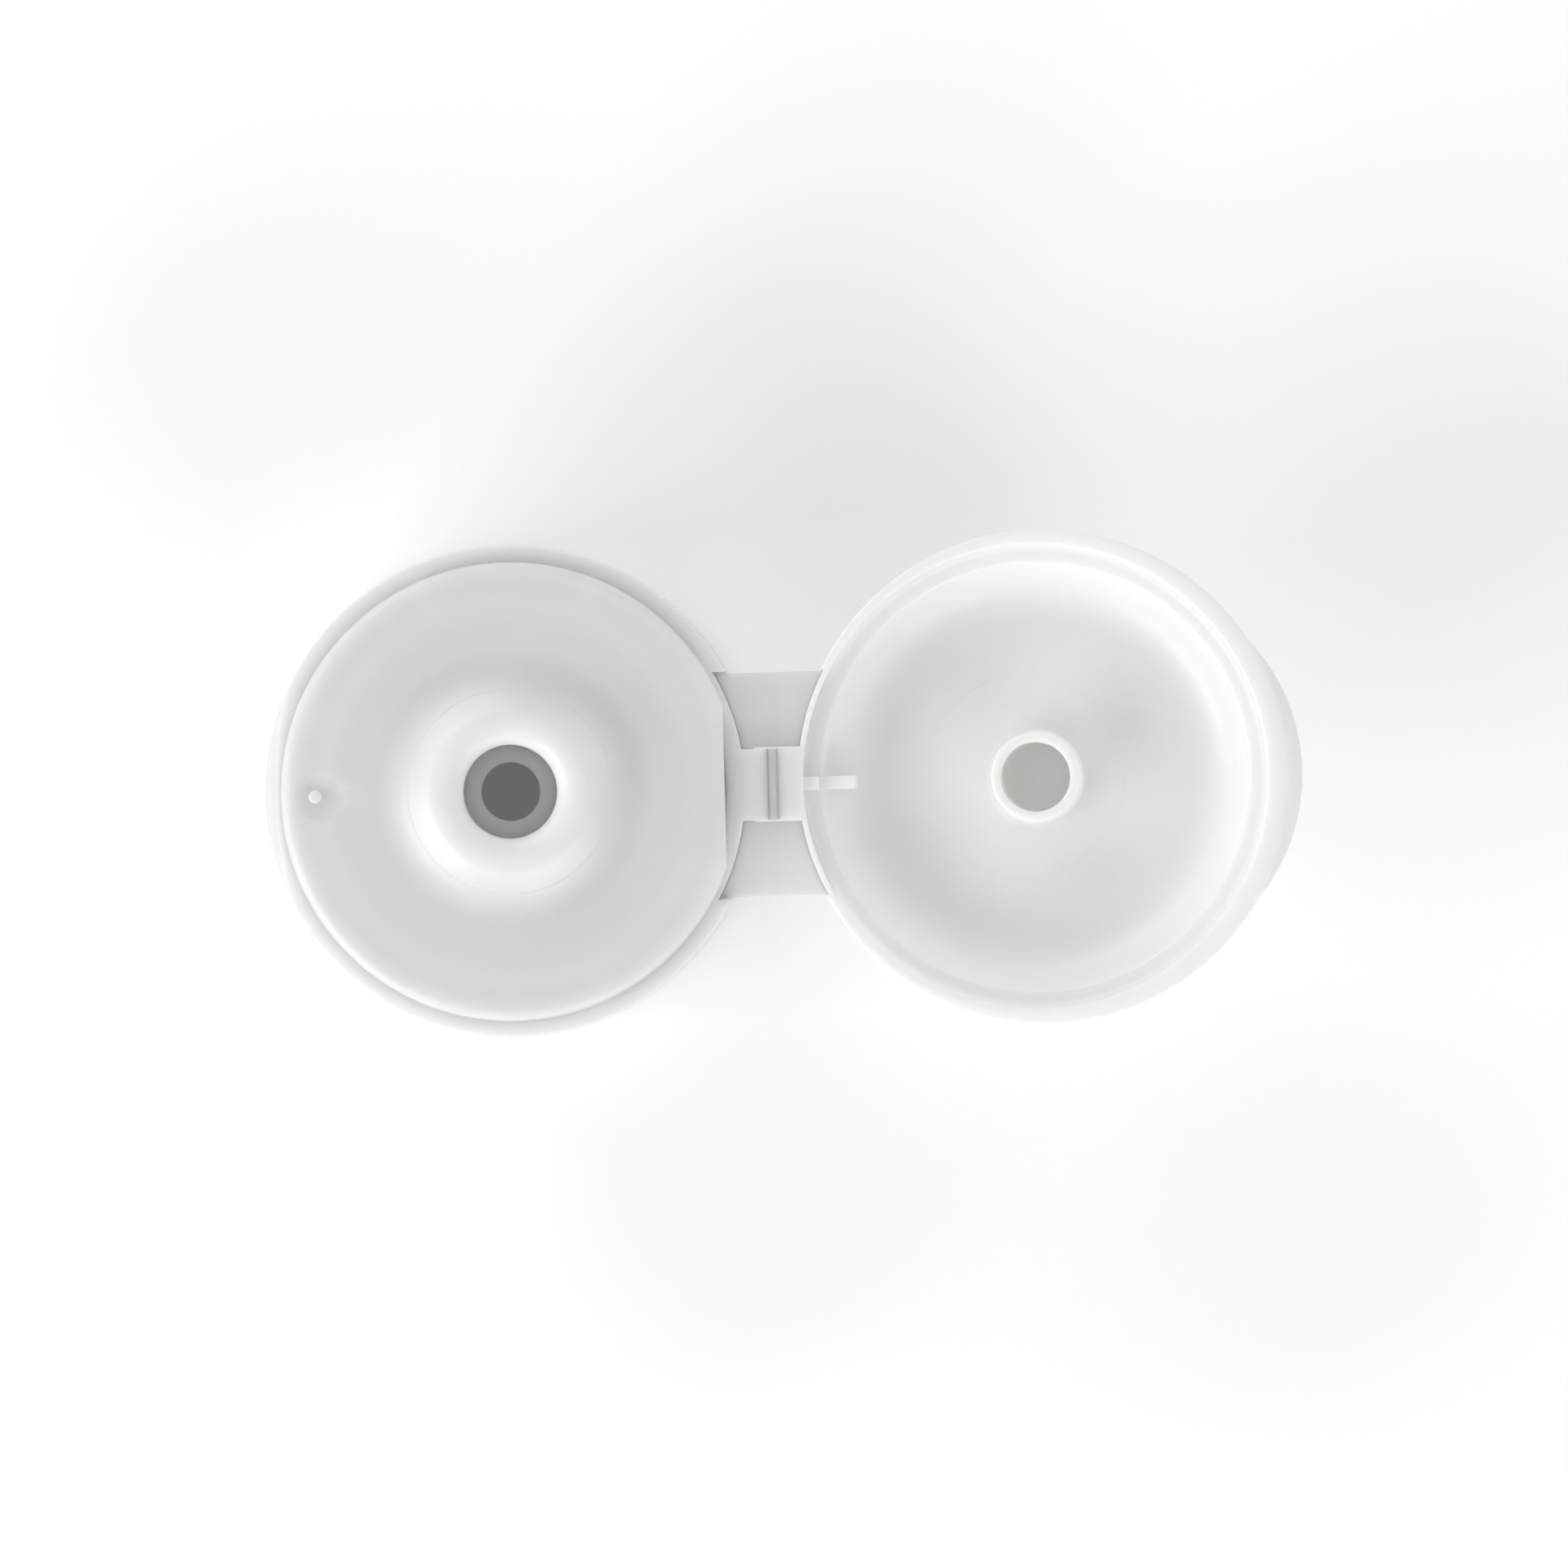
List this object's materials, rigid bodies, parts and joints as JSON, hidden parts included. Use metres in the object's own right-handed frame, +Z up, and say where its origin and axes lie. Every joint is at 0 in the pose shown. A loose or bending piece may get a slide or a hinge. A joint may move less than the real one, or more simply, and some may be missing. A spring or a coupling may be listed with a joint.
{
  "type": "flip top cap",
  "caption": "Screw-on flip top dispensing cap with a crater nozzle, a plug-seal lid and a butterfly living hinge, moulded open in one piece.",
  "frame": {"origin": "on the body's axis, in the plane of its foot", "axes": "+Z up along the body's axis, out of the nozzle; +X from the body to the open lid; +Y along the hinge"},
  "size_m": [0.0798, 0.038, 0.02],
  "materials": {
    "polypropylene": "satin white polypropylene"
  },
  "bodies": {
    "body": {"closure_body": "polypropylene", "hinge_film": "polypropylene", "hinge_wing_left": "polypropylene", "hinge_wing_right": "polypropylene"},
    "lid": {"lid": "polypropylene"}
  },
  "joints": [
    {"name": "lid_hinge", "type": "hinge", "parent": "body", "child": "lid", "pos_m": [0.02013, 0, 0.01616], "axis": [0, -1, 0], "range_deg": [0, 176], "deforming": ["hinge_film", "hinge_wing_left", "hinge_wing_right"]}
  ]
}
